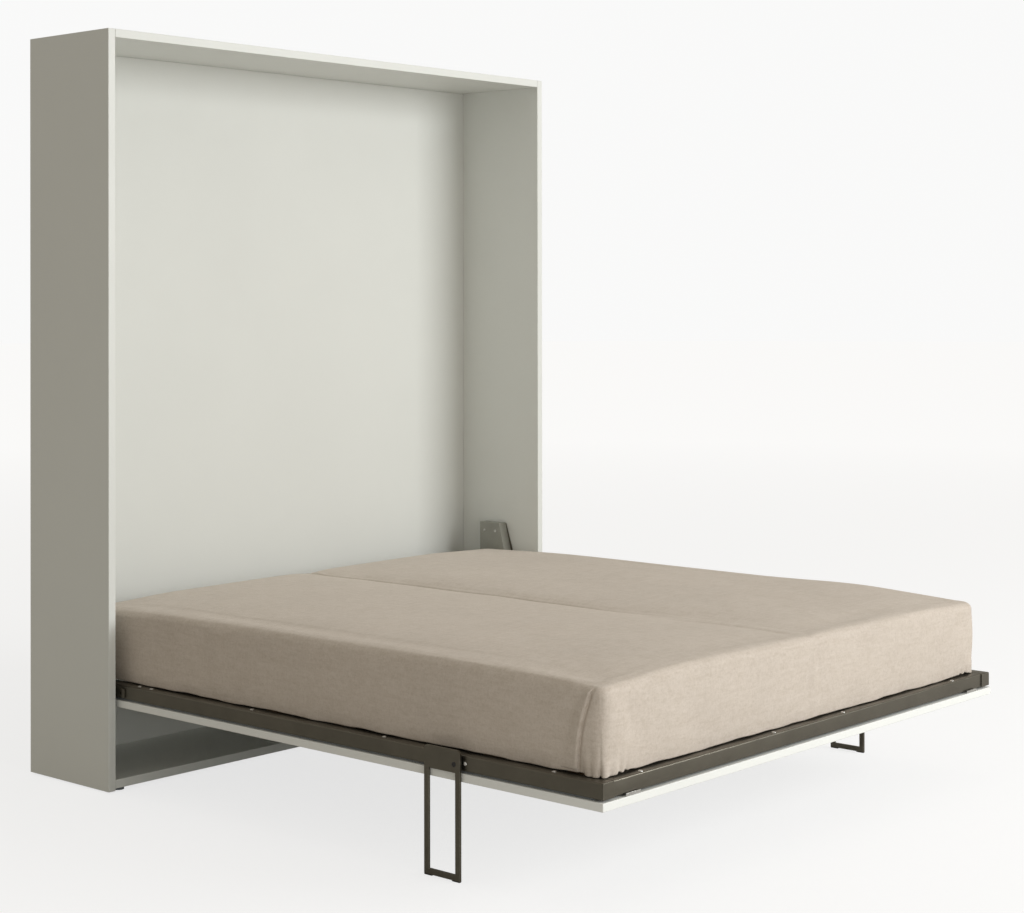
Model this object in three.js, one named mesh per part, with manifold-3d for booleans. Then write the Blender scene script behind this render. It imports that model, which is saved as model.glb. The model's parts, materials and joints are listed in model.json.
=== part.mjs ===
// Vertical fold-down wall bed, shown lowered.
// Millimetres, +Z up. X runs across the cabinet, the bed opens toward -Y.
// The origin is on the floor, under the middle of the lowered bed's outline.
import * as THREE from 'three';
import { mergeVertices } from 'three/addons/utils/BufferGeometryUtils.js';
import Module from 'manifold-3d';

const wasm = await Module();
wasm.setup();

// ---------------------------------------------------------------- dimensions
const WALL_Y = 1106;            // plane of the wall, half of the overall depth
const CAB_W = 1944;             // cabinet width over the side panels
const CAB_D = 389;              // cabinet depth
const CAB_TOP = 2240;           // top of the cabinet above the floor
const FOOT_H = 5;               // levelling feet
const BOARD = 25;               // carcass board thickness
const BASE_Z0 = 12;             // underside of the bottom board
const GAP = 0.3;                // clearance between touching pieces

const PIVOT_Y = 318;            // hinge axis in front of the wall
const PIVOT_Z = 316;            // hinge axis above the floor

const PANEL_HALF = 934;         // half width of the front panel
const PANEL_Z0 = 248;           // underside of the front panel, bed lowered
const PANEL_T = 21;
const PANEL_FOOT = 2212;        // foot edge of the panel in front of the wall
const PANEL_HEAD = 53;          // head edge of the panel in front of the wall

const RAIL_OUT = 930;           // outer face of the side rails
const RAIL_W = 45;
const RAIL_Z0 = 274;
const RAIL_Z1 = 314;
const RAIL_WALL = 2.5;
const RAIL_FOOT = 2206;
const RAIL_HEAD = 58;

const MATT_HALF = 900;
const MATT_FOOT = 2183;
const MATT_LEN = 2000;
const MATT_Z0 = 315;
const MATT_Z1 = 535;

const LINK = [-12, -12];        // link offset from both pivots, along (y, z)
const LEG_PIVOT = [1732, 303];  // leg pivot in front of the wall, height
const LEG_X0 = 936.5;
const LEG_X1 = 944;
const LEG_Y0 = 1764;            // foot-side edge of the leg
const LEG_Y1 = 1641;            // head-side edge of the leg
const LEG_TOP = 327;
const LEG_BAR = 16;
const LEG_GLIDE_H = 2;           // thickness of the pads under the leg
const LEG_WIN_BOTTOM = 17.5;
const LEG_WIN_TOP = 270;

const STRUT_R = 240;            // both strut ends stand this far from the hinge
const STRUT_A = 68;             // degrees, cabinet end
const STRUT_B = 2.5;            // degrees, bed end
const STRUT_X = 919.5;

// ----------------------------------------------------------------- materials
const mat = (color, roughness, metalness) =>
  new THREE.MeshStandardMaterial({ color, roughness, metalness });
const laminate = mat(0xd9d9d0, 0.45, 0);
const backboard = mat(0xcfcfc6, 0.6, 0);
const frontWhite = mat(0xe2e4dc, 0.35, 0);
const steel = mat(0x5a564b, 0.42, 0.75);
const zinc = mat(0xa9abab, 0.35, 0.9);
const grey = mat(0x86877c, 0.5, 0.4);
const black = mat(0x1c1c1c, 0.6, 0);
const birch = mat(0xd9bd8c, 0.55, 0);
const fabric = mat(0xc2b19f, 0.95, 0);

const group = new THREE.Group();
const frame = new THREE.Group();
frame.position.y = WALL_Y;      // inside this group the wall is y = 0
group.add(frame);

// ------------------------------------------------------------------- helpers
function closed(geometry) {
  const g = geometry.clone();
  g.deleteAttribute('normal');
  g.deleteAttribute('uv');
  const m = mergeVertices(g, 1e-4);
  const p = m.attributes.position;
  const idx = Array.from(m.index.array);
  let v = 0;
  for (let i = 0; i < idx.length; i += 3) {
    const [a, b, c] = [idx[i], idx[i + 1], idx[i + 2]];
    v += p.getX(a) * (p.getY(b) * p.getZ(c) - p.getZ(b) * p.getY(c))
       - p.getY(a) * (p.getX(b) * p.getZ(c) - p.getZ(b) * p.getX(c))
       + p.getZ(a) * (p.getX(b) * p.getY(c) - p.getY(b) * p.getX(c));
  }
  const tri = [];
  for (let i = 0; i < idx.length; i += 3) {
    const [a, b, c] = [idx[i], idx[i + 1], idx[i + 2]];
    if (a === b || b === c || a === c) continue;
    if (v < 0) tri.push(a, c, b); else tri.push(a, b, c);
  }
  m.setIndex(tri);
  return m;
}
function solid(geometry) {
  const g = closed(geometry);
  return new wasm.Manifold(new wasm.Mesh({
    numProp: 3,
    vertProperties: new Float32Array(g.attributes.position.array),
    triVerts: new Uint32Array(g.index.array),
  }));
}
function geometryOf(manifold) {
  const m = manifold.getMesh();
  const g = new THREE.BufferGeometry();
  const pos = new Float32Array(m.numVert * 3);
  for (let i = 0; i < m.numVert; i++)
    for (let k = 0; k < 3; k++) pos[3 * i + k] = m.vertProperties[m.numProp * i + k];
  g.setAttribute('position', new THREE.BufferAttribute(pos, 3));
  g.setIndex(Array.from(m.triVerts));
  g.computeVertexNormals();
  return g;
}
function add(name, geometry, material) {
  const mesh = new THREE.Mesh(geometry, material);
  mesh.name = name;
  frame.add(mesh);
  return mesh;
}
function roundedRect(x0, x1, y0, y1, r) {
  const s = new THREE.Shape();
  s.moveTo(x0 + r, y0);
  s.lineTo(x1 - r, y0); s.absarc(x1 - r, y0 + r, r, -Math.PI / 2, 0, false);
  s.lineTo(x1, y1 - r); s.absarc(x1 - r, y1 - r, r, 0, Math.PI / 2, false);
  s.lineTo(x0 + r, y1); s.absarc(x0 + r, y1 - r, r, Math.PI / 2, Math.PI, false);
  s.lineTo(x0, y0 + r); s.absarc(x0 + r, y0 + r, r, Math.PI, Math.PI * 1.5, false);
  return s;
}
function rectPath(x0, x1, y0, y1) {
  const s = new THREE.Path();
  s.moveTo(x0, y0); s.lineTo(x1, y0); s.lineTo(x1, y1); s.lineTo(x0, y1); s.lineTo(x0, y0);
  return s;
}
function polygon(points) {
  return new THREE.Shape(points.map(([a, b]) => new THREE.Vector2(a, b)));
}
// Board or block with eased edges, given by its limits.
function block(x0, x1, y0, y1, z0, z1, c = 0.8) {
  const e = c * 0.6, [a0, a1, b0, b1] = [x0 + c, x1 - c, y0 + c, y1 - c];
  const s = polygon([[a0 + e, b0], [a1 - e, b0], [a1, b0 + e], [a1, b1 - e], [a1 - e, b1], [a0 + e, b1], [a0, b1 - e], [a0, b0 + e]]);
  const g = new THREE.ExtrudeGeometry(s, {
    depth: z1 - z0 - 2 * c, bevelEnabled: true, bevelThickness: c, bevelSize: c,
    bevelSegments: 1, curveSegments: 1,
  });
  g.translate(0, 0, z0 + c);
  return closed(g);
}
// Profile drawn in (y, z) and extruded along X from x0 to x1.
const YZ_TO_WORLD = new THREE.Matrix4().set(0, 0, 1, 0, 1, 0, 0, 0, 0, 1, 0, 0, 0, 0, 0, 1);
function alongX(shape, x0, x1, seg = 6, bevel = 0) {
  const g = new THREE.ExtrudeGeometry(shape, {
    depth: x1 - x0 - 2 * bevel, bevelEnabled: bevel > 0, bevelThickness: bevel,
    bevelSize: bevel, bevelOffset: -bevel, bevelSegments: 1, curveSegments: seg,
  });
  g.applyMatrix4(YZ_TO_WORLD);
  g.translate(x0 + bevel, 0, 0);
  return closed(g);
}
// The same profile on the right side (+X) or the left side (-X).
function alongXSide(side, shape, x0, x1, seg, bevel) {
  return side > 0 ? alongX(shape, x0, x1, seg, bevel) : alongX(shape, -x1, -x0, seg, bevel);
}
// Profile drawn in (x, z) and extruded along Y from y0 to y1.
function alongY(shape, y0, y1, seg = 3) {
  const g = new THREE.ExtrudeGeometry(shape, { depth: y1 - y0, bevelEnabled: false, curveSegments: seg });
  g.rotateX(Math.PI / 2);
  g.translate(0, y1, 0);
  return closed(g);
}
// Turned part about an axis parallel to X; profile is [x, radius] on the right side.
function turned(side, profile, y, z, seg = 20) {
  let pts = profile.map(([x, r]) => new THREE.Vector2(r, side * x));
  if (side < 0) pts = pts.reverse();
  const g = new THREE.LatheGeometry(pts, seg);
  g.rotateZ(-Math.PI / 2);      // lathe axis Y becomes +X
  g.translate(0, y, z);
  return closed(g);
}
function rod(x, ya, za, yb, zb, radius, seg = 14) {
  const dy = yb - ya, dz = zb - za, len = Math.hypot(dy, dz);
  const g = new THREE.CylinderGeometry(radius, radius, len, seg);
  g.rotateX(Math.atan2(dz, dy));
  g.translate(x, (ya + yb) / 2, (za + zb) / 2);
  return g;
}
function disc(x0, x1, y, z, radius, seg = 18) {
  const g = new THREE.CylinderGeometry(radius, radius, x1 - x0, seg);
  g.rotateZ(Math.PI / 2);
  g.translate((x0 + x1) / 2, y, z);
  return g;
}
function arcSlot(cy, cz, rIn, rOut, a0, a1) {
  const s = new THREE.Shape();
  const d = Math.PI / 180;
  s.absarc(cy, cz, rOut, a0 * d, a1 * d, false);
  s.absarc(cy, cz, rIn, a1 * d, a0 * d, true);
  return s;
}
const polar = (r, deg) => [-PIVOT_Y + r * Math.cos(deg * Math.PI / 180), PIVOT_Z + r * Math.sin(deg * Math.PI / 180)];

// ------------------------------------------------------------------- cabinet
const HW = CAB_W / 2, IN = HW - BOARD;
add('side_panel_left', block(-HW, -IN, -CAB_D, 0, FOOT_H, CAB_TOP), laminate);
add('side_panel_right', block(IN, HW, -CAB_D, 0, FOOT_H, CAB_TOP), laminate);
add('top_panel', block(-IN + GAP, IN - GAP, -CAB_D, 0, CAB_TOP - BOARD, CAB_TOP), laminate);
add('bottom_panel', block(-IN + GAP, IN - GAP, -CAB_D, 0, BASE_Z0, BASE_Z0 + BOARD), laminate);
add('back_panel', block(-IN + GAP, IN - GAP, -20, -12, BASE_Z0 + BOARD + GAP, CAB_TOP - BOARD - GAP, 0.5), backboard);

for (const [name, sx, y0] of [['front_left', -1, -378], ['front_right', 1, -378], ['rear_left', -1, -52], ['rear_right', 1, -52]]) {
  // Threaded levelling foot under the bottom board, its pad on the floor.
  const cx = sx * (IN - 34), cy = y0 + 20;
  const pts = [[0, 0], [15, 0], [16, 1], [16, 5], [12, 7.6], [7, 8.2], [7, BASE_Z0 - GAP], [0, BASE_Z0 - GAP]]
    .map(([r, z]) => new THREE.Vector2(r, z));
  const g = new THREE.LatheGeometry(pts, 16);
  g.rotateX(Math.PI / 2);
  g.translate(cx, cy, 0);
  add(`levelling_foot_${name}`, closed(g), grey);
}

for (const [name, sx] of [['left', -1], ['right', 1]]) {
  // Steel angle that screws the cabinet to the wall, behind the back panel.
  const s = polygon([[-11.7, 2211.7], [-3, 2211.7], [-3, 2150], [0, 2150], [0, 2214.7], [-11.7, 2214.7]]);
  let m = solid(alongX(s, sx * 700 - 40, sx * 700 + 40));
  const hole = new THREE.CylinderGeometry(4.5, 4.5, 12, 12);
  hole.translate(sx * 700 + 22, -1.5, 2176);
  const hole2 = hole.clone().translate(-44, 0, 0);
  m = m.subtract(solid(hole)).subtract(solid(hole2));
  add(`wall_bracket_${name}`, geometryOf(m), zinc);
}

// ----------------------------------------------------- hinge and lift hardware
const A = polar(STRUT_R, STRUT_A), B = polar(STRUT_R, STRUT_B);
const coverFront = (z) => -235 - 0.272 * (620 - z);
for (const [name, side] of [['left', -1], ['right', 1]]) {
  // Cabinet plate with the link stud and the upper strut stud welded on.
  const outline = polygon([[-350, 262], [-152, 262], [-142, 274], [-142, 618], [coverFront(618), 618],
    [-330, 330], [-350, 306]]);
  let plate = solid(alongXSide(side, outline, 942.7, 946.7, 4, 0.5));
  const linkStud = turned(side, [[909, 0], [909, 2.4], [909.8, 3], [943.2, 3], [943.2, 0]], -PIVOT_Y + LINK[0], PIVOT_Z + LINK[1], 14);
  const strutStud = turned(side, [[912, 0], [912, 4.4], [912.8, 5], [925.5, 5], [925.5, 8], [943.2, 8], [943.2, 0]], A[0], A[1], 16);
  plate = plate.add(solid(linkStud)).add(solid(strutStud));
  const bore = disc(Math.min(side * 940, side * 950), Math.max(side * 940, side * 950), -PIVOT_Y, PIVOT_Z, 6);
  plate = plate.subtract(solid(bore));
  for (const [hy, hz] of [[-170, 300], [-170, 440], [-165, 590], [-212, 590], [-215, 300]])
    plate = plate.subtract(solid(disc(Math.min(side * 940, side * 950), Math.max(side * 940, side * 950), hy, hz, 3.2, 10)));
  add(`hinge_plate_${name}`, geometryOf(plate), steel);

  // Folded cover over the strut: inner face, sloping front flange and top flange.
  const outer = polygon([[coverFront(350), 350], [-141, 350], [-141, 620], [coverFront(620), 620]]);
  const inner = polygon([[coverFront(300) + 2.1, 300], [-120, 300], [-120, 618], [coverFront(618) + 2.1, 618]]);
  let cover = solid(alongXSide(side, outer, 905.8, 942.4, 1, 0.6));
  cover = cover.subtract(solid(alongXSide(side, inner, 907.8, 960, 1)));
  add(`mechanism_cover_${name}`, geometryOf(cover), grey);

  // Stepped hinge pin, pressed into the cabinet plate with a thrust flange.
  add(`pivot_pin_${name}`, turned(side, [[930.6, 0], [930.6, 7], [931.4, 7.9], [936.4, 7.9], [936.4, 11.5],
    [938.4, 11.5], [938.4, 5.7], [946.4, 5.7], [946.4, 0]], -PIVOT_Y, PIVOT_Z, 22), zinc);

  // Bed-side hinge arm on the outer face of the side rail.
  const arm = new THREE.Shape();
  arm.moveTo(-413, 280); arm.lineTo(-411, 278); arm.lineTo(-250, 278); arm.lineTo(-248, 280);
  arm.lineTo(-248, 304); arm.lineTo(-292, 318);
  arm.absarc(-PIVOT_Y, PIVOT_Z, 22, 30 * Math.PI / 180, 150 * Math.PI / 180, false);
  arm.lineTo(-344, 318); arm.lineTo(-413, 304);
  let armSolid = solid(alongXSide(side, arm, 930.3, 935, 6, 0.4));
  const x0 = side > 0 ? 920 : -945, x1 = side > 0 ? 945 : -920;
  armSolid = armSolid.subtract(solid(disc(x0, x1, -PIVOT_Y, PIVOT_Z, 8.3, 22)));
  const slotP = alongX(arcSlot(-PIVOT_Y, PIVOT_Z, 12.9, 21.1, 208, 332), x0, x1, 7);
  armSolid = armSolid.subtract(solid(slotP));
  for (const hy of [-396, -372, -262])
    armSolid = armSolid.subtract(solid(disc(x0, x1, hy, 291, 4.2, 10)));
  add(`hinge_arm_${name}`, geometryOf(armSolid), steel);

  // Side rail: rectangular tube with arc slots for the link pins.
  const tube = side > 0 ? roundedRect(RAIL_OUT - RAIL_W, RAIL_OUT, RAIL_Z0, RAIL_Z1, 4)
    : roundedRect(-RAIL_OUT, -RAIL_OUT + RAIL_W, RAIL_Z0, RAIL_Z1, 4);
  const bx0 = (side > 0 ? RAIL_OUT - RAIL_W : -RAIL_OUT) + RAIL_WALL, bx1 = bx0 + RAIL_W - 2 * RAIL_WALL;
  tube.holes.push(rectPath(bx0, bx1, RAIL_Z0 + RAIL_WALL, RAIL_Z1 - RAIL_WALL));
  let rail = solid(alongY(tube, -RAIL_FOOT, -RAIL_HEAD, 3));
  rail = rail.subtract(solid(alongX(arcSlot(-PIVOT_Y, PIVOT_Z, 12.9, 21.1, 208, 332), x0, x1, 7)));
  rail = rail.subtract(solid(alongX(arcSlot(-LEG_PIVOT[0], LEG_PIVOT[1], 12.9, 21.1, 208, 332), x0, x1, 7)));
  add(`side_rail_${name}`, geometryOf(rail), steel);

  // Plug that closes the foot end of the tube.
  const capOuter = side > 0 ? roundedRect(RAIL_OUT - RAIL_W + 0.4, RAIL_OUT - 0.4, RAIL_Z0 + 0.4, RAIL_Z1 - 0.4, 3.8)
    : roundedRect(-RAIL_OUT + 0.4, -RAIL_OUT + RAIL_W - 0.4, RAIL_Z0 + 0.4, RAIL_Z1 - 0.4, 3.8);
  const head = solid(alongY(capOuter, -RAIL_FOOT - 2.3, -RAIL_FOOT - 0.3, 3));
  const plug = new THREE.BoxGeometry(bx1 - bx0 - 1, 18, RAIL_Z1 - RAIL_Z0 - 2 * RAIL_WALL - 1);
  plug.translate((bx0 + bx1) / 2, -RAIL_FOOT + 7, (RAIL_Z0 + RAIL_Z1) / 2);
  add(`rail_end_cap_${name}`, geometryOf(head.add(solid(plug))), steel);

  // Lower strut bracket: plate on the rail with an inward stud.
  const br = polygon([[-112, 278], [-60, 278], [-56, 300], [-60, 334], [-66, 341], [-90, 341], [-98, 332], [-112, 300]]);
  let bracket = solid(alongXSide(side, br, 930.3, 934.6, 2, 0.4));
  bracket = bracket.add(solid(turned(side, [[912, 0], [912, 4.4], [912.8, 5], [925.5, 5], [925.5, 8], [931, 8], [931, 0]], B[0], B[1], 16)));
  for (const hy of [-99, -70]) bracket = bracket.subtract(solid(disc(x0, x1, hy, 290, 4, 10)));
  add(`strut_bracket_${name}`, geometryOf(bracket), steel);

  // Gas strut: cylinder hung from the cabinet, rod carried by the bed.
  const L0 = Math.hypot(B[0] - A[0], B[1] - A[1]);
  const u = [(B[0] - A[0]) / L0, (B[1] - A[1]) / L0];
  const at = (s) => [A[0] + u[0] * s, A[1] + u[1] * s];
  const sx = side * STRUT_X;
  let cyl = solid(rod(sx, ...at(14), ...at(236), 10, 20));
  cyl = cyl.add(solid(disc(sx - 4, sx + 4, A[0], A[1], 10, 18))).add(solid(rod(sx, ...at(6), ...at(16), 3.9, 10)));
  cyl = cyl.subtract(solid(rod(sx, ...at(20), ...at(250), 5.6, 16)));
  cyl = cyl.subtract(solid(disc(sx - 6, sx + 6, A[0], A[1], 5.3, 16)));
  add(`strut_cylinder_${name}`, geometryOf(cyl), black);
  let piston = solid(rod(sx, ...at(24), ...at(L0 - 6), 5, 16));
  piston = piston.add(solid(disc(sx - 4, sx + 4, B[0], B[1], 9, 18)));
  piston = piston.subtract(solid(disc(sx - 6, sx + 6, B[0], B[1], 5.3, 16)));
  add(`strut_rod_${name}`, geometryOf(piston), zinc);

  // Link rod inside the rail that keeps the leg upright.
  const P = [-PIVOT_Y + LINK[0], PIVOT_Z + LINK[1]], Q = [-LEG_PIVOT[0] + LINK[0], LEG_PIVOT[1] + LINK[1]];
  const lx = side * 914;
  let link = solid(rod(lx, ...P, ...Q, 3.4, 8));
  link = link.add(solid(disc(lx - 3, lx + 3, ...P, 6.5, 16))).add(solid(disc(lx - 3, lx + 3, ...Q, 6.5, 16)));
  link = link.subtract(solid(disc(lx - 5, lx + 5, ...P, 3.4, 14))).subtract(solid(disc(lx - 5, lx + 5, ...Q, 3.9, 14)));
  add(`leg_link_rod_${name}`, geometryOf(link), zinc);

  // Shoulder pin on the rail that carries the leg.
  add(`leg_pivot_${name}`, turned(side, [[930.3, 0], [930.3, 11], [934.4, 11], [934.4, 8], [936, 8], [936, 6], [941.6, 6],
    [941.6, 0]], -LEG_PIVOT[0], LEG_PIVOT[1], 20), zinc);

  // Leg: flat welded loop hanging from a solid plate.
  const o = new THREE.Shape();
  const y0 = -LEG_Y0, y1 = -LEG_Y1, zt = LEG_TOP, r = 11;
  o.moveTo(y0, LEG_GLIDE_H + GAP); o.lineTo(y1, LEG_GLIDE_H + GAP); o.lineTo(y1, zt - r);
  o.absarc(y1 - r, zt - r, r, 0, Math.PI / 2, false);
  o.lineTo(y0 + r, zt); o.absarc(y0 + r, zt - r, r, Math.PI / 2, Math.PI, false);
  o.lineTo(y0, LEG_GLIDE_H + GAP);
  o.holes.push(rectPath(y0 + LEG_BAR, y1 - LEG_BAR, LEG_WIN_BOTTOM, LEG_WIN_TOP));
  let leg = solid(alongXSide(side, o, LEG_X0, LEG_X1, 6, 0.9));
  leg = leg.subtract(solid(disc(side > 0 ? x0 - 3 : -942, side > 0 ? 942 : x1 + 3, -LEG_PIVOT[0], LEG_PIVOT[1], 6.3, 20)));
  leg = leg.subtract(solid(disc(x0 - 3, x1 + 3, ...Q, 3.4, 14)));
  add(`leg_${name}`, geometryOf(leg), steel);
  for (const [pn, py0, py1] of [['foot_side', y0 + 1, y0 + 27], ['head_side', y1 - 27, y1 - 1]])
    add(`leg_glide_${name}_${pn}`, block(side > 0 ? LEG_X0 : -LEG_X1, side > 0 ? LEG_X1 : -LEG_X0, py0, py1, 0, LEG_GLIDE_H, 0.4), black);

  // Bolt that joins the leg plate to the link rod.
  add(`leg_link_bolt_${name}`, turned(side, [[909.5, 0], [909.5, 2.4], [910.2, 3], [944.3, 3], [944.3, 5.4], [945.6, 4.9],
    [946.1, 3.6], [946.1, 0]], ...Q, 16), zinc);

  // Packing strip between the rail and the front panel.
  add(`panel_spacer_${name}`, block(side > 0 ? 893 : -922, side > 0 ? 922 : -893, -2170, -80, PANEL_Z0 + PANEL_T + GAP, RAIL_Z0 - GAP, 0.4), grey);

  // Clip that holds the panel's foot edge to the foot rail.
  const cx0 = side > 0 ? 790 : -845;
  const clip = polygon([[-2158, 269.3], [-2211.4, 269.3], [-2211.4, 277], [-2209.3, 277], [-2209.3, 272.6], [-2158, 272.6]]);
  add(`panel_clip_${name}`, alongX(clip, cx0, cx0 + 55, 1), zinc);
}

// ------------------------------------------------------------------ bed frame
add('front_panel', block(-PANEL_HALF, PANEL_HALF, -PANEL_FOOT, -PANEL_HEAD, PANEL_Z0, PANEL_Z0 + PANEL_T, 1), frontWhite);
const cross = (y0, y1) => {
  const s = roundedRect(y0, y1, RAIL_Z0, RAIL_Z1, 4);
  s.holes.push(rectPath(y0 + RAIL_WALL, y1 - RAIL_WALL, RAIL_Z0 + RAIL_WALL, RAIL_Z1 - RAIL_WALL));
  return alongX(s, -RAIL_OUT + RAIL_W + GAP, RAIL_OUT - RAIL_W - GAP, 3);
};
add('foot_rail', cross(-RAIL_FOOT + 1, -RAIL_FOOT + 1 + RAIL_W), steel);
add('head_rail', cross(-RAIL_HEAD - RAIL_W, -RAIL_HEAD), steel);
const centre = roundedRect(-15, 15, RAIL_Z0, 299.7, 3);
centre.holes.push(rectPath(-13, 13, RAIL_Z0 + 2, 297.7));
add('centre_rail', alongY(centre, -RAIL_FOOT + 1 + RAIL_W + GAP, -RAIL_HEAD - RAIL_W - GAP, 2), steel);

// Bowed birch slats across the frame.
const SLATS = 8, S0 = -2090, S1 = -190;
for (let i = 0; i < SLATS; i++) {
  const y = S0 + (S1 - S0) * i / (SLATS - 1);
  add(`slat_${i + 1}`, block(-884.6, 884.6, y - 34, y + 34, 300, 312, 1.5), birch);
}

// Two mattresses side by side under one cover.
for (const [name, x0, x1] of [['left', -MATT_HALF, -0.5], ['right', 0.5, MATT_HALF]]) {
  const s = roundedRect(x0 + 14, x1 - 14, -MATT_FOOT + 14, -MATT_FOOT + MATT_LEN - 14, 26);
  const g = new THREE.ExtrudeGeometry(s, {
    depth: MATT_Z1 - MATT_Z0 - 28, bevelEnabled: true, bevelThickness: 14, bevelSize: 14,
    bevelSegments: 2, curveSegments: 3,
  });
  g.translate(0, 0, MATT_Z0 + 14);
  add(`mattress_${name}`, closed(g), fabric);
}

export default group;
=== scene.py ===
import json
import math

import bmesh
import bpy
import numpy as np
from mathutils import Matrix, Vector
from mathutils.bvhtree import BVHTree


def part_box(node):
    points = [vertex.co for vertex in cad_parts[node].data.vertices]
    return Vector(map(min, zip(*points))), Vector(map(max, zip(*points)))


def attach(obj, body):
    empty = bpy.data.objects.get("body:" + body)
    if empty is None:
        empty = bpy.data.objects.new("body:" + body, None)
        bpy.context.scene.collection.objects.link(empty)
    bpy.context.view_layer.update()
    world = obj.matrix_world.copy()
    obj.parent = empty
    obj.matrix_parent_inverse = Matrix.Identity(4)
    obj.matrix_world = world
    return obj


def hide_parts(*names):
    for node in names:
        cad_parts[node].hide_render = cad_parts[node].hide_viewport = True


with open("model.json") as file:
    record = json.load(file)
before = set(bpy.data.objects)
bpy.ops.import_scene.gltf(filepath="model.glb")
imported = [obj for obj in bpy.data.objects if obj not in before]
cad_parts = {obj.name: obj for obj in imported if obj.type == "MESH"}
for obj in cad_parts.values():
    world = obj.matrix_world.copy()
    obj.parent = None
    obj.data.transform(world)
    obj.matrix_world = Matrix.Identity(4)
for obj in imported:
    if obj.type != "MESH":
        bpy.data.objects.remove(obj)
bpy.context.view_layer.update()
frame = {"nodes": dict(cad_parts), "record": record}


nodes = frame["nodes"]
record = frame["record"]
slot_of = {s["node"]: s["material_slot"] for s in record["subparts"]}
body_of = {n: b for b, group in record["behaviour"]["bodies"].items() for n in group}
scene = bpy.context.scene
link = scene.collection.objects.link

# ---------------------------------------------------------------- camera

cam_data = bpy.data.cameras.new("camera")
cam_data.lens = 70.32
cam_data.sensor_width = 36.0
cam_data.shift_y = -0.1606
cam_data.clip_end = 200
cam_data.dof.use_dof = False
cam = bpy.data.objects.new("camera", cam_data)
cam.location = (-4.5654, -4.042, 1.4504)
cam.rotation_euler = (math.radians(90.15), math.radians(0.07), math.radians(-48.46))
link(cam)
scene.camera = cam
scene.view_settings.view_transform = "Standard"


# ---------------------------------------------------------------- node helpers

class Nodes:
    """A small helper to lay out a material's node tree."""

    def __init__(self, name):
        self.mat = bpy.data.materials.new(name)
        self.mat.use_nodes = True
        self.t = self.mat.node_tree
        self.b = self.t.nodes["Principled BSDF"]
        self.coord = self.t.nodes.new("ShaderNodeTexCoord")

    def set(self, **k):
        for key, v in k.items():
            self.b.inputs[key.replace("_", " ")].default_value = v
        return self

    def new(self, kind, **props):
        n = self.t.nodes.new(kind)
        for k, v in props.items():
            setattr(n, k, v)
        return n

    def link(self, a, b):
        self.t.links.new(a, b)

    def scaled(self, scale, rot=(0, 0, 0)):
        m = self.new("ShaderNodeMapping")
        m.inputs["Scale"].default_value = scale
        m.inputs["Rotation"].default_value = rot
        self.link(self.coord.outputs["Object"], m.inputs["Vector"])
        return m.outputs["Vector"]

    def noise(self, scale, detail=3.0, rough=0.55, vec=None, distortion=0.0):
        n = self.new("ShaderNodeTexNoise")
        n.inputs["Scale"].default_value = scale
        n.inputs["Detail"].default_value = detail
        n.inputs["Roughness"].default_value = rough
        n.inputs["Distortion"].default_value = distortion
        self.link(vec or self.coord.outputs["Object"], n.inputs["Vector"])
        return n.outputs["Fac"]

    def wave(self, axis, scale, distortion=0.0):
        n = self.new("ShaderNodeTexWave", wave_type="BANDS", bands_direction=axis, wave_profile="SIN")
        n.inputs["Scale"].default_value = scale
        n.inputs["Distortion"].default_value = distortion
        n.inputs["Detail"].default_value = 1.0
        n.inputs["Detail Scale"].default_value = 1.0
        self.link(self.coord.outputs["Object"], n.inputs["Vector"])
        return n.outputs["Fac"]

    def math(self, op, a, b=None, c=None):
        n = self.new("ShaderNodeMath", operation=op)
        for i, v in enumerate((a, b, c)):
            if v is None:
                continue
            if isinstance(v, (int, float)):
                n.inputs[i].default_value = v
            else:
                self.link(v, n.inputs[i])
        return n.outputs[0]

    def span(self, v, lo, hi, to_lo, to_hi):
        n = self.new("ShaderNodeMapRange")
        n.inputs["From Min"].default_value = lo
        n.inputs["From Max"].default_value = hi
        n.inputs["To Min"].default_value = to_lo
        n.inputs["To Max"].default_value = to_hi
        self.link(v, n.inputs["Value"])
        return n.outputs["Result"]

    def ramp(self, v, stops):
        n = self.new("ShaderNodeValToRGB")
        e = n.color_ramp.elements
        while len(e) < len(stops):
            e.new(0.5)
        for el, (p, c) in zip(e, stops):
            el.position = p
            el.color = (*c, 1)
        self.link(v, n.inputs["Fac"])
        return n.outputs["Color"]

    def mix(self, fac, a, b, blend="MIX"):
        n = self.new("ShaderNodeMix", data_type="RGBA", blend_type=blend)
        for sock, v in ((n.inputs[0], fac), (n.inputs[6], a), (n.inputs[7], b)):
            if isinstance(v, (int, float)):
                sock.default_value = v
            elif isinstance(v, tuple):
                sock.default_value = (*v, 1)
            else:
                self.link(v, sock)
        return n.outputs[2]

    def bump(self, height, strength, distance, normal=None):
        n = self.new("ShaderNodeBump")
        n.inputs["Strength"].default_value = strength
        n.inputs["Distance"].default_value = distance
        self.link(height, n.inputs["Height"])
        if normal is not None:
            self.link(normal, n.inputs["Normal"])
        return n.outputs["Normal"]

    def colour(self, c):
        self.link(c, self.b.inputs["Base Color"])

    def rough(self, v):
        self.link(v, self.b.inputs["Roughness"])

    def normal(self, v):
        self.link(v, self.b.inputs["Normal"])


def tint(c, k):
    return tuple(min(1.0, v * k) for v in c)


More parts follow.
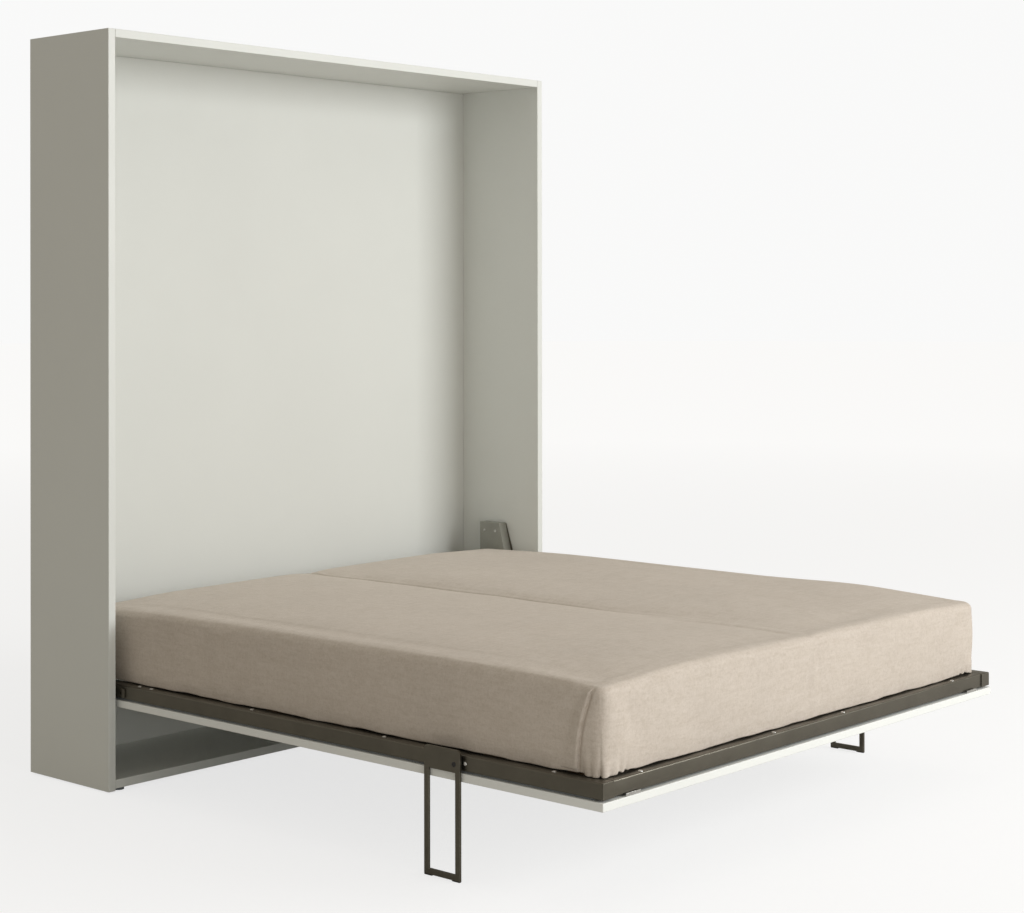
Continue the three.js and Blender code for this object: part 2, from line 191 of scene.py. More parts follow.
def laminate(name, base, rough, grain=1.0):
    """Melamine-faced board: a very fine pearl texture and a trace of cloudiness."""
    m = Nodes(name)
    cloud = m.noise(2.6, 4, 0.6)
    fine = m.noise(420, 2, 0.6)
    c = m.ramp(cloud, [(0.1, tint(base, 0.975)), (0.9, tint(base, 1.015))])
    speck = m.ramp(fine, [(0.35, (0.975, 0.975, 0.972)), (0.65, (1.0, 1.0, 1.0))])
    m.colour(m.mix(0.6, c, speck, "MULTIPLY"))
    m.rough(m.span(m.noise(7, 3, 0.5), 0.1, 0.9, rough - 0.05, rough + 0.06))
    pearl = m.math("ADD", m.noise(650, 3, 0.6), m.math("MULTIPLY", m.noise(150, 2, 0.5), 0.8))
    m.normal(m.bump(pearl, 0.10 * grain, 0.0004))
    m.set(Specular_IOR_Level=0.45)
    return m.mat


def powder_coat(name, base, rough, metallic=0.6, flake=1.0):
    """Metallic powder coat: orange-peel ripple, fine flake, slight handling marks."""
    m = Nodes(name)
    flakes = m.noise(1500, 2, 0.7)
    patch = m.noise(9, 5, 0.62)
    c = m.ramp(patch, [(0.3, tint(base, 0.90)), (0.7, tint(base, 1.08))])
    sp = m.ramp(flakes, [(0.42, (0.80, 0.80, 0.80)), (0.62, (1.0, 1.0, 1.0)), (0.72, (1.25, 1.24, 1.2))])
    m.colour(m.mix(0.35 * flake, c, sp, "MULTIPLY"))
    scuff = m.noise(1.0, 5, 0.7, m.scaled((14, 14, 60)))
    m.rough(m.span(scuff, 0.3, 0.75, rough - 0.05, rough + 0.10))
    peel = m.math("ADD", m.noise(330, 2, 0.5), m.math("MULTIPLY", m.noise(1100, 2, 0.6), 0.35))
    m.normal(m.bump(peel, 0.16, 0.0004))
    m.set(Metallic=metallic, Specular_IOR_Level=0.5)
    return m.mat


def plated(name, base, rough, metallic=1.0, brushed=(900, 60, 60)):
    """Zinc plate or ground rod: drawn lines along the part, faint blotches."""
    m = Nodes(name)
    lines = m.noise(1.0, 3, 0.6, m.scaled(brushed))
    blot = m.noise(70, 3, 0.6)
    c = m.ramp(blot, [(0.3, tint(base, 0.86)), (0.7, tint(base, 1.06))])
    m.colour(m.mix(0.25, c, m.ramp(lines, [(0.3, (0.8, 0.8, 0.8)), (0.7, (1.0, 1.0, 1.0))]), "MULTIPLY"))
    m.rough(m.span(lines, 0.3, 0.7, rough - 0.06, rough + 0.08))
    m.normal(m.bump(lines, 0.12, 0.0002))
    m.set(Metallic=metallic)
    return m.mat


def moulded(name, base, rough, sheen=0.0):
    m = Nodes(name)
    fine = m.noise(520, 3, 0.6)
    c = m.ramp(m.noise(40, 3, 0.6), [(0.3, tint(base, 0.90)), (0.7, tint(base, 1.10))])
    m.colour(c)
    m.rough(m.span(fine, 0.3, 0.7, rough - 0.07, rough + 0.07))
    m.normal(m.bump(fine, 0.25, 0.0004))
    m.set(Sheen_Weight=sheen)
    return m.mat


def birch(name):
    m = Nodes(name)
    vec = m.scaled((3.5, 26, 60))
    g = m.noise(1.0, 6, 0.62, vec, 0.35)
    rings = m.noise(1.0, 3, 0.5, m.scaled((1.2, 110, 200)))
    c = m.ramp(g, [(0.28, (0.42, 0.28, 0.145)), (0.5, (0.57, 0.41, 0.235)), (0.75, (0.70, 0.54, 0.34))])
    m.colour(m.mix(0.25, c, m.ramp(rings, [(0.35, (0.72, 0.62, 0.5)), (0.65, (1.0, 1.0, 1.0))]), "MULTIPLY"))
    m.rough(m.span(g, 0.3, 0.7, 0.36, 0.5))
    m.normal(m.bump(m.math("ADD", rings, g), 0.12, 0.0005))
    m.set(Coat_Weight=0.25, Coat_Roughness=0.25)
    return m.mat


LINEN = (0.590, 0.526, 0.462)


def linen(name):
    """Melange linen-look cloth: crossed slubby threads on every face, soft mottling, a dusting of sheen."""
    m = Nodes(name)
    # threads run along X, along Y and along Z: on each face of the cover two of the three cross
    tx = m.noise(1.0, 3, 0.6, m.scaled((22, 700, 700)))
    ty = m.noise(1.0, 3, 0.6, m.scaled((700, 22, 700)))
    tz = m.noise(1.0, 3, 0.6, m.scaled((700, 700, 22)))
    slub = m.noise(1.0, 4, 0.65, m.scaled((16, 70, 95)))
    slub2 = m.noise(1.0, 4, 0.65, m.scaled((70, 16, 95)))
    heather = m.noise(165, 4, 0.75)
    cloud = m.noise(3.2, 4, 0.6)
    c = m.ramp(cloud, [(0.25, tint(LINEN, 0.955)), (0.5, LINEN), (0.78, tint(LINEN, 1.03))])
    c = m.mix(0.55, c, m.ramp(slub, [(0.32, (0.90, 0.885, 0.86)), (0.55, (1.0, 1.0, 1.0)), (0.72, (1.035, 1.04, 1.05))]), "MULTIPLY")
    c = m.mix(0.55, c, m.ramp(slub2, [(0.32, (0.90, 0.885, 0.86)), (0.55, (1.0, 1.0, 1.0)), (0.72, (1.035, 1.04, 1.05))]), "MULTIPLY")
    c = m.mix(0.6, c, m.ramp(heather, [(0.34, (0.86, 0.84, 0.81)), (0.5, (1.0, 1.0, 1.0)), (0.66, (1.07, 1.07, 1.08))]), "MULTIPLY")
    threads = m.math("ADD", m.math("ADD", tx, ty), tz)
    c = m.mix(0.5, c, m.ramp(m.math("MULTIPLY", threads, 0.3333), [(0.38, (0.84, 0.82, 0.79)), (0.5, (1.0, 1.0, 1.0)), (0.62, (1.07, 1.07, 1.07))]), "MULTIPLY")
    m.colour(c)
    m.rough(m.span(heather, 0.3, 0.7, 0.82, 0.95))
    wx = m.wave("X", 210, 0.6)
    wy = m.wave("Y", 210, 0.6)
    wz = m.wave("Z", 210, 0.6)
    weave = m.math("ADD", m.math("ADD", wx, wy), wz)
    h = m.math("ADD", m.math("MULTIPLY", weave, 0.35), m.math("MULTIPLY", threads, 0.9))
    n1 = m.bump(h, 0.35, 0.0006)
    n2 = m.bump(m.noise(26, 4, 0.6), 0.10, 0.004, n1)
    m.normal(n2)
    m.set(Sheen_Weight=0.22, Sheen_Roughness=0.55, Sheen_Tint=(0.95, 0.9, 0.84, 1), Specular_IOR_Level=0.22)
    return m.mat


MATS = {
    "carcass_laminate": laminate("carcass_laminate", (0.722, 0.737, 0.708), 0.46),
    "back_board": laminate("back_board", (0.690, 0.703, 0.672), 0.60, 1.5),
    "front_laminate": laminate("front_laminate", (0.835, 0.850, 0.828), 0.34, 0.8),
    "frame_steel": powder_coat("frame_steel", (0.158, 0.147, 0.121), 0.33, 0.90),
    "cover_steel": powder_coat("cover_steel", (0.330, 0.330, 0.295), 0.46, 0.35, 0.6),
    "zinc_steel": plated("zinc_steel", (0.66, 0.66, 0.65), 0.30),
    "strut_black": powder_coat("strut_black", (0.022, 0.022, 0.023), 0.30, 0.1, 0.4),
    "strut_rod_chrome": plated("strut_rod_chrome", (0.78, 0.78, 0.79), 0.14, 1.0, (40, 900, 900)),
    "grey_plastic": moulded("grey_plastic", (0.215, 0.235, 0.255), 0.5),
    "black_rubber": moulded("black_rubber", (0.018, 0.018, 0.018), 0.72, 0.15),
    "birch_slat": birch("birch_slat"),
    "linen_cover": linen("linen_cover"),
}

# ---------------------------------------------------------------- CAD nodes: finish and eased edges

EASE = {
    "side_panel": 0.0009, "top_panel": 0.0009, "bottom_panel": 0.0009, "back_panel": 0.0004,
    "front_panel": 0.0010, "side_rail": 0.0020, "foot_rail": 0.0015, "head_rail": 0.0022,
    "centre_rail": 0.0015, "rail_end_cap": 0.0012, "leg_left": 0.0009, "leg_right": 0.0009,
    "leg_glide": 0.0010, "mechanism_cover": 0.0007, "hinge_plate": 0.0006, "hinge_arm": 0.0007,
    "slat": 0.0025, "panel_spacer": 0.0006, "panel_clip": 0.0004, "wall_bracket": 0.0006,
    "levelling_foot": 0.0008, "strut_bracket": 0.0006, "pivot_pin": 0.0005, "leg_pivot": 0.0004,
    "leg_link_bolt": 0.0004, "strut_cylinder": 0.0006, "strut_rod": 0.0003, "leg_link_rod": 0.0004,
}


def width_for(node):
    best = [k for k in EASE if node.startswith(k)]
    return EASE[max(best, key=len)] if best else 0.0004


def eased(node, width, segments=3):
    """The same solid with its sharp edges eased by a small real radius."""
    src = nodes[node]
    bm = bmesh.new()
    bm.from_mesh(src.data)
    bm.transform(src.matrix_world)
    bmesh.ops.remove_doubles(bm, verts=bm.verts, dist=3e-6)
    bmesh.ops.dissolve_limit(bm, angle_limit=math.radians(0.4), verts=bm.verts, edges=bm.edges, use_dissolve_boundaries=False)
    bmesh.ops.recalc_face_normals(bm, faces=bm.faces)
    bm.verts.index_update()
    verts = [v.co.copy() for v in bm.verts]
    faces = [[v.index for v in f.verts] for f in bm.faces]
    bm.free()
    me = bpy.data.meshes.new(node + "_eased")
    me.from_pydata(verts, [], faces)
    me.validate()
    ob = bpy.data.objects.new(node + "_eased", me)
    link(ob)
    mod = ob.modifiers.new("ease", "BEVEL")
    mod.width = width
    mod.segments = segments
    mod.limit_method = "ANGLE"
    mod.angle_limit = math.radians(38)
    mod.use_clamp_overlap = True
    mod.harden_normals = True
    mod.miter_outer = "MITER_ARC"
    for p in me.polygons:
        p.use_smooth = True
    bpy.context.view_layer.update()
    out = bpy.data.meshes.new_from_object(ob.evaluated_get(bpy.context.evaluated_depsgraph_get()))
    ob.modifiers.clear()
    ob.data = out
    out.name = node + "_eased"
    return ob


def finish_mesh(ob, mat, body=None):
    ob.data.materials.clear()
    ob.data.materials.append(mat)
    if body:
        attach(ob, body)
    return ob


for n, obj in nodes.items():
    mat = MATS[slot_of[n]]
    if not obj.material_slots:
        obj.data.materials.append(mat)
    for s in obj.material_slots:
        s.material = mat
    if n.startswith("mattress") or n in ("leg_left", "leg_right"):
        continue  # the legs' edges are eased in the CAD already
    piece = eased(n, width_for(n))
    finish_mesh(piece, mat, body_of[n])
    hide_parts(n)


# ---------------------------------------------------------------- small hardware

def new_object(name, verts, faces, mat, body, smooth=True):
    me = bpy.data.meshes.new(name)
    me.from_pydata([tuple(v) for v in verts], [], [tuple(f) for f in faces])
    me.validate()
    me.update()
    bm = bmesh.new()
    bm.from_mesh(me)
    bmesh.ops.recalc_face_normals(bm, faces=bm.faces)
    bm.to_mesh(me)
    bm.free()
    for p in me.polygons:
        p.use_smooth = smooth
    ob = bpy.data.objects.new(name, me)
    link(ob)
    return finish_mesh(ob, mat, body)


def frame_of(axis):
    w = Vector(axis).normalized()
    u = Vector((0, 0, 1)).cross(w) if abs(w.z) < 0.9 else Vector((1, 0, 0)).cross(w)
    u.normalize()
    return u, w.cross(u), w


def lathe(profile, seg=28):
    """Verts and faces of a turned solid; profile is (radius, height), from axis to axis."""
    verts, faces, rings = [], [], []
    for r, h in profile:
        if r < 1e-7:
            rings.append([len(verts)])
            verts.append((0.0, 0.0, h))
        else:
            rings.append(list(range(len(verts), len(verts) + seg)))
            verts += [(r * math.cos(2 * math.pi * i / seg), r * math.sin(2 * math.pi * i / seg), h) for i in range(seg)]
    for a, b in zip(rings, rings[1:]):
        if len(a) == 1 and len(b) == 1:
            continue
        for i in range(seg):
            j = (i + 1) % seg
            if len(a) == 1:
                faces.append((a[0], b[j], b[i]))
            elif len(b) == 1:
                faces.append((a[i], a[j], b[0]))
            else:
                faces.append((a[i], a[j], b[j], b[i]))
    return verts, faces


def placed(parts):
    """Several turned solids, each ((verts, faces), centre, axis), as one list of verts and faces."""
    verts, faces = [], []
    for (v, f), centre, axis in parts:
        u, w2, w = frame_of(axis)
        c = Vector(centre)
        k = len(verts)
        verts += [tuple(c + u * p[0] + w2 * p[1] + w * p[2]) for p in v]
        faces += [tuple(i + k for i in g) for g in f]
    return verts, faces


def dome(r, h, base=0.0):
    pts = [(0.0, -0.0004), (r * 0.98, -0.0004), (r, base + 0.0002)]
    for i in range(1, 8):
        a = math.pi / 2 * i / 8
        pts.append((r * math.cos(a), base + 0.0002 + h * math.sin(a)))
    pts.append((0.0, base + 0.0002 + h))
    return pts


def socket_dome(r, h, sock_r):
    """A button head with a hexagon-like socket sunk in it."""
    pts = [(0.0, -0.0004), (r * 0.98, -0.0004), (r, 0.0003)]
    for i in range(1, 7):
        a = math.radians(62) * i / 6
        pts.append((max(r * math.cos(a), sock_r), 0.0003 + h * math.sin(a)))
    pts += [(sock_r, 0.0003 + h * 0.93), (sock_r * 0.96, h * 0.35), (0.0, h * 0.30)]
    return pts


# a low button head: it stays inside the 3 mm between the leg and the side panel
LOW_HEAD = [(0.0, -0.0004), (0.0057, -0.0004), (0.0058, 0.0003), (0.0054, 0.0009), (0.0046, 0.0014),
            (0.0034, 0.0017), (0.0024, 0.0018), (0.0022, 0.00145), (0.0, 0.0014)]


def hexagon(r, h, hole=0.0):
    pts = []
    for i in range(6):
        pts.append((r * math.cos(math.pi / 3 * i), r * math.sin(math.pi / 3 * i)))
    verts = [(x, y, 0.0) for x, y in pts] + [(x, y, h * 0.86) for x, y in pts] + [(x * 0.9, y * 0.9, h) for x, y in pts]
    faces = [tuple(reversed(range(6)))]
    for k in (0, 6):
        faces += [(k + i, k + (i + 1) % 6, k + 6 + (i + 1) % 6, k + 6 + i) for i in range(6)]
    faces.append((12, 13, 14, 15, 16, 17))
    return verts, faces


WY = 1.106


def wall(v):
    """Y of a point so many millimetres in front of the wall."""
    return WY - v / 1000.0


RAIL_TOP = 0.314
side_spots = [455, 510, 950, 1467, 2043]
parts = []
for s in (-1, 1):
    for v in side_spots:
        parts.append((lathe(dome(0.0062, 0.0026)), (s * 0.9105, wall(v), RAIL_TOP), (0, 0, 1)))
for x in (-0.770, -0.204, 0.130, 0.727):
    parts.append((lathe(dome(0.0064, 0.0028)), (x, wall(2194.5), RAIL_TOP), (0, 0, 1)))
v, f = placed(parts)
new_object("rail_top_rivets", v, f, MATS["zinc_steel"], "bed")

# washers and hexagon heads on the main pivots, inside the cabinet, over the pins
for side, s in (("left", -1), ("right", 1)):
    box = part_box("pivot_pin_" + side)
    cx = box[0][0] if s > 0 else box[1][0]
    cyz = ((box[0][1] + box[1][1]) / 2, (box[0][2] + box[1][2]) / 2)
    parts = [
        (lathe([(0, 0), (0.0115, 0), (0.0115, 0.0014), (0.0108, 0.0018), (0, 0.0018)]), (cx, *cyz), (-s, 0, 0)),
        (hexagon(0.0088, 0.0056), (cx - s * 0.0017, *cyz), (-s, 0, 0)),
    ]
    v, f = placed(parts)
    new_object("pivot_nut_" + side, v, f, MATS["zinc_steel"], "cabinet", smooth=False)

    # button-head screws through the mechanism cover into the side panel
    lo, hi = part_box("mechanism_cover_" + side)
    inner = lo[0] if s > 0 else hi[0]
    parts = []
    for yy, zz in ((hi[1] - 0.022, hi[2] - 0.030), (hi[1] - 0.022, lo[2] + 0.040), (hi[1] - 0.075, hi[2] - 0.030)):
        parts.append((lathe(socket_dome(0.0052, 0.0026, 0.0020), 24), (inner, yy, zz), (-s, 0, 0)))
    v, f = placed(parts)
    new_object("cover_screws_" + side, v, f, MATS["zinc_steel"], "cabinet")

    # leg link bolt: washer and low button head on the outer face of the leg plate
    lo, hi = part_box("leg_link_bolt_" + side)
    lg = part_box("leg_" + side)
    outer = lg[1][0] if s > 0 else lg[0][0]
    cyz = ((lo[1] + hi[1]) / 2, (lo[2] + hi[2]) / 2)
    v, f = placed([
        (lathe([(0, 0), (0.0066, 0), (0.0066, 0.0007), (0.0061, 0.0011), (0, 0.0011)]), (outer - s * 0.0002, *cyz), (s, 0, 0)),
        (lathe(LOW_HEAD, 28), (outer + s * 0.0008, *cyz), (s, 0, 0)),
    ])
    new_object("leg_bolt_head_" + side, v, f, MATS["strut_black"], "leg_" + side)

    # dome-head screw on the outer face of the side rail, beside the leg
    v, f = placed([(lathe(dome(0.0055, 0.0038), 28), (s * 0.930, -0.6640, 0.294), (s, 0, 0))])
    new_object("rail_screw_" + side, v, f, MATS["zinc_steel"], "bed")


# ---------------------------------------------------------------- the fitted mattress cover

HALF = 0.900
FOOT = wall(2183)
HEAD = wall(183)
Z_BED = 0.3156
HEM = 0.3180
Z_TOP = 0.5400


def steps(points):
    """Grid lines through (position, step) runs."""
    out = [points[0][0]]
    for (a, _), (b, st) in zip(points, points[1:]):
        k = max(1, int(round((b - a) / st)))
        out += [a + (b - a) * i / k for i in range(1, k + 1)]
    return np.array(out)


XL = steps([(-HALF, 0), (-HALF + 0.11, 0.0048), (-0.035, 0.021), (0.035, 0.0044), (HALF - 0.11, 0.021), (HALF, 0.0048)])
YL = steps([(FOOT, 0), (FOOT + 0.020, 0.0044), (FOOT + 0.086, 0.0030), (FOOT + 0.13, 0.0048), (HEAD - 0.10, 0.021), (HEAD, 0.0085)])
ZL = steps([(HEM, 0), (HEM + 0.045, 0.0045), (Z_TOP - 0.045, 0.011), (Z_TOP, 0.0045)])


def build_cover():
    nx, ny, nz = len(XL), len(YL), len(ZL)
    ids, verts, faces = {}, [], []

    def vid(i, j, k):
        key = (i, j, k)
        if key not in ids:
            ids[key] = len(verts)
            verts.append((XL[i], YL[j], ZL[k]))
        return ids[key]

    for i in range(nx - 1):
        for j in range(ny - 1):
            faces.append((vid(i, j, nz - 1), vid(i + 1, j, nz - 1), vid(i + 1, j + 1, nz - 1), vid(i, j + 1, nz - 1)))
    for k in range(nz - 1):
        for i in range(nx - 1):
            faces.append((vid(i, 0, k), vid(i + 1, 0, k), vid(i + 1, 0, k + 1), vid(i, 0, k + 1)))
            faces.append((vid(i + 1, ny - 1, k), vid(i, ny - 1, k), vid(i, ny - 1, k + 1), vid(i + 1, ny - 1, k + 1)))
        for j in range(ny - 1):
            faces.append((vid(0, j + 1, k), vid(0, j, k), vid(0, j, k + 1), vid(0, j + 1, k + 1)))
            faces.append((vid(nx - 1, j, k), vid(nx - 1, j + 1, k), vid(nx - 1, j + 1, k + 1), vid(nx - 1, j, k + 1)))
    # the loop round the hem, in order
    loop = [(i, 0) for i in range(nx - 1)] + [(nx - 1, j) for j in range(ny - 1)]
    loop += [(i, ny - 1) for i in range(nx - 1, 0, -1)] + [(0, j) for j in range(ny - 1, 0, -1)]
    hem = [vid(i, j, 0) for i, j in loop]
    P = np.array(verts, float)
    tag = np.zeros(len(P), int)
    # rounded edges: each point moves to the rounded box of radius R
    R_v = np.where((P[:, 0] > 0) & (P[:, 1] < FOOT + 0.3), 0.050, 0.034)
    R_h = 0.018
    x, y, z = P[:, 0].copy(), P[:, 1].copy(), P[:, 2].copy()
    # vertical corners in plan
    ix = np.clip(x, -HALF + R_v, HALF - R_v)
    iy = np.clip(y, FOOT + R_v, HEAD - R_v)
    dx, dy = x - ix, y - iy
    on_wall = (np.abs(np.abs(x) - HALF) < 1e-9) | (np.abs(y - FOOT) < 1e-9) | (np.abs(y - HEAD) < 1e-9)
    d = np.maximum(np.hypot(dx, dy), 1e-9)
    both = (np.abs(dx) > 1e-9) & (np.abs(dy) > 1e-9)
    # square to round: scale by the ratio of the square's reach to the circle's
    m = np.maximum(np.abs(dx), np.abs(dy))
    k = np.where(both, m / d, 1.0)
    x, y = ix + dx * k, iy + dy * k
    # top edge rounding: pull the top inward and the sides up over a quarter round
    top = np.abs(P[:, 2] - Z_TOP) < 1e-9
    # distance from the wall in plan, along the outward direction
    ex = HALF - np.abs(P[:, 0])
    ef = P[:, 1] - FOOT
    eh = HEAD - P[:, 1]
    edge = np.minimum(np.minimum(ex, ef), eh)
    t = np.clip(edge / R_h, 0, 1)
    drop = np.where(top & (edge < R_h), 1 - np.sin(np.arccos(np.clip(1 - t, 0, 1))), 0.0)
    ang_top = (math.pi / 4) * (1 + t)
    tz = np.clip((Z_TOP - P[:, 2]) / R_h, 0, 1)
    ang_side = (math.pi / 4) * (1 - tz)
    side_near = (~top) & (P[:, 2] > Z_TOP - R_h)
    out_dir = np.zeros((len(P), 2))
    fx = np.where(ex <= edge + 1e-9, np.sign(P[:, 0]), 0.0)
    fy = np.where(ef <= edge + 1e-9, -1.0, 0.0) + np.where(eh <= edge + 1e-9, 1.0, 0.0)
    out_dir[:, 0], out_dir[:, 1] = fx, fy
    # in the corner the outward direction turns with the plan rounding
    cdir = np.stack([dx, dy], 1) / d[:, None]
    corner = both
    out_dir[corner] = cdir[corner]
    norm = np.maximum(np.hypot(out_dir[:, 0], out_dir[:, 1]), 1e-9)
    out_dir /= norm[:, None]
    # top band points
    band = top & (edge < R_h)
    shift = np.where(band, (R_h * np.cos(ang_top)) - (R_h - edge), 0.0)
    x += out_dir[:, 0] * shift
    y += out_dir[:, 1] * shift
    z = np.where(band, Z_TOP - R_h + R_h * np.sin(ang_top), z)
    shift = np.where(side_near, -(R_h - R_h * np.cos(ang_side)), 0.0)
    x += out_dir[:, 0] * shift
    y += out_dir[:, 1] * shift
    z = np.where(side_near, Z_TOP - R_h + R_h * np.sin(ang_side), z)
    Q = np.stack([x, y, z], 1)
    return P, Q, out_dir, on_wall, top, faces, hem


P0, Q0, OUT, WALLV, TOPV, cover_faces, hem_loop = build_cover()


def smooth(a, b, v):
    t = np.clip((v - a) / (b - a), 0, 1)
    return t * t * (3 - 2 * t)


def crown(x, y):
    """Height of the stuffed top over the flat one: each half domes a little, low at the far corners."""
    ax = np.abs(x)
    half = np.sin(np.clip(ax / HALF, 0, 1) * math.pi) ** 0.8
    yy = (y - (FOOT + HEAD) / 2) / ((HEAD - FOOT) / 2)
    lengthwise = np.clip(1 - np.abs(yy) ** 5, 0, 1)
    # the made-up bed isn't level: highest by the near foot corner, lowest at the near head corner
    tilt = -0.0047 + 0.0018 * x - 0.0027 * y + 0.0032 * x * y
    tilt = tilt + 0.0045 * np.exp(-((x + 0.55) / 0.25) ** 2 - ((y - FOOT) / 0.35) ** 2)
    tilt = tilt + 0.0055 * np.exp(-((x - 0.90) / 0.30) ** 2 - ((y + 0.68) / 0.22) ** 2)
    sag = -0.010 * smooth(0.62, 1.0, ax / HALF) * smooth(0.55, 1.0, np.abs(yy))
    return 0.0075 * half * lengthwise + sag + tilt


Q0[:, 2] += np.where(TOPV, crown(Q0[:, 0], Q0[:, 1]), 0.0)
# the sides follow the top edge's height near the top
edge_rise = crown(Q0[:, 0], Q0[:, 1]) * smooth(HEM + 0.06, Z_TOP - 0.02, P0[:, 2])
Q0[:, 2] += np.where(TOPV, 0.0, edge_rise)

# a gentle draw-in towards the hem and a belly between
hgt = np.clip((P0[:, 2] - HEM) / (Z_TOP - HEM), 0, 1)
belly = np.where(WALLV & ~TOPV, 0.0035 * np.sin(hgt * math.pi) - 0.0024 * (1 - smooth(0.0, 0.16, hgt)), 0.0)
Q0[:, 0] += OUT[:, 0] * belly
Q0[:, 1] += OUT[:, 1] * belly


def add_underside(points, faces, hem):
    """Turns the hem under: a short return, a step down to the slats and a flat base."""
    pts = [tuple(p) for p in points]
    fcs = list(faces)
    prev = hem
    cx, cy = 0.0, (FOOT + HEAD) / 2
    for inset, z in ((0.0035, -0.0012), (0.010, 0.0005), (0.018, 0.0018), (0.0215, -0.0045), (0.024, None)):
        ring = []
        for v in hem:
            p = points[v]
            nx_ = OUT[v, 0]
            ny_ = OUT[v, 1]
            zz = Z_BED if z is None else p[2] + z
            if inset > 0.02 and z is not None:
                zz = (p[2] + Z_BED) / 2
            ring.append(len(pts))
            pts.append((p[0] - nx_ * inset, p[1] - ny_ * inset, zz))
        n = len(hem)
        for i in range(n):
            j = (i + 1) % n
            fcs.append((prev[j], prev[i], ring[i], ring[j]))
        prev = ring
    fcs.append(tuple(prev))
    return pts, fcs


def mesh_object(name, pts, fcs):
    me = bpy.data.meshes.new(name)
    me.from_pydata(pts, [], fcs)
    me.validate()
    me.update()
    ob = bpy.data.objects.new(name, me)
    link(ob)
    return ob


def smoothed(d, rounds):
    """Averages each point's movement with its neighbours', so the cloth keeps its swell and loses creases."""
    pairs = set()
    for f in cover_faces:
        for a, b in zip(f, f[1:] + f[:1]):
            pairs.add((min(a, b), max(a, b)))
    e = np.array(sorted(pairs))
    count = np.bincount(e.ravel(), minlength=len(d)).astype(float)[:, None]
    for _ in range(rounds):
        total = np.zeros_like(d)
        np.add.at(total, e[:, 0], d[e[:, 1]])
        np.add.at(total, e[:, 1], d[e[:, 0]])
        d = 0.45 * d + 0.55 * total / count
    return d


def simulate(points):
    """Inflates the cloth between its held lines: the hem and the centre seam."""
    pts, fcs = add_underside(points, cover_faces, hem_loop)
    ob = mesh_object("cover_sim", pts, fcs)
    n0 = len(points)
    pin = ob.vertex_groups.new(name="pin")
    hold = np.ones(len(pts))
    h = P0[:, 2]
    low = 1 - smooth(HEM + 0.006, HEM + 0.05, h)
    seam = np.where(TOPV, np.exp(-(P0[:, 0] / 0.006) ** 2) * smooth(-0.75, 0.10, P0[:, 1]), 0.0)
    ring = np.maximum(low, seam)
    hold[:n0] = np.clip(ring, 0, 1)
    for i, w in enumerate(hold):
        if w > 0.02:
            pin.add([i], float(w), "REPLACE")
    cloth = ob.modifiers.new("cloth", "CLOTH")
    s = cloth.settings
    s.quality = 4
    s.mass = 0.25
    s.tension_stiffness = 40
    s.compression_stiffness = 40
    s.shear_stiffness = 6
    s.bending_stiffness = 0.6
    s.tension_damping = 8
    s.compression_damping = 8
    s.shear_damping = 6
    s.air_damping = 2.0
    s.vertex_group_mass = "pin"
    s.pin_stiffness = 1.0
    s.use_pressure = True
    s.uniform_pressure_force = 0.09
    s.shrink_min = -0.002
    s.effector_weights.gravity = 0.0
    cloth.collision_settings.use_collision = False
    cloth.collision_settings.use_self_collision = False
    cloth.point_cache.frame_start = 1
    cloth.point_cache.frame_end = 16
    scene.frame_start, scene.frame_end = 1, 16
    for fr in range(1, 15):
        scene.frame_set(fr)
    ev = ob.evaluated_get(bpy.context.evaluated_depsgraph_get())
    me = bpy.data.meshes.new_from_object(ev)
    co = np.empty(len(me.vertices) * 3)
    me.vertices.foreach_get("co", co)
    co = co.reshape(-1, 3)[:n0]
    bpy.data.meshes.remove(me)
    bpy.data.objects.remove(ob, do_unlink=True)
    scene.frame_set(1)
    d = smoothed(co - points, 8)
    length = np.linalg.norm(d, axis=1)
    cap = 0.009
    k = np.where(length > cap, cap / np.maximum(length, 1e-9), 1.0)
    print("cloth moved", round(float(length.mean() * 1000), 2), "mm mean", round(float(length.max() * 1000), 2), "mm at most")
    return points + d * k[:, None]


Q1 = simulate(Q0)
if not np.isfinite(Q1).all():
    Q1 = Q0.copy()


# hem waves and corner scallops ------------------------------------------------

def lobes(s, spec):
    """Sum of soft bumps: spec is (place, half width, height)."""
    out = np.zeros_like(s)
    for c, w, a in spec:
        out += a * np.exp(-((s - c) / w) ** 2)
    return out


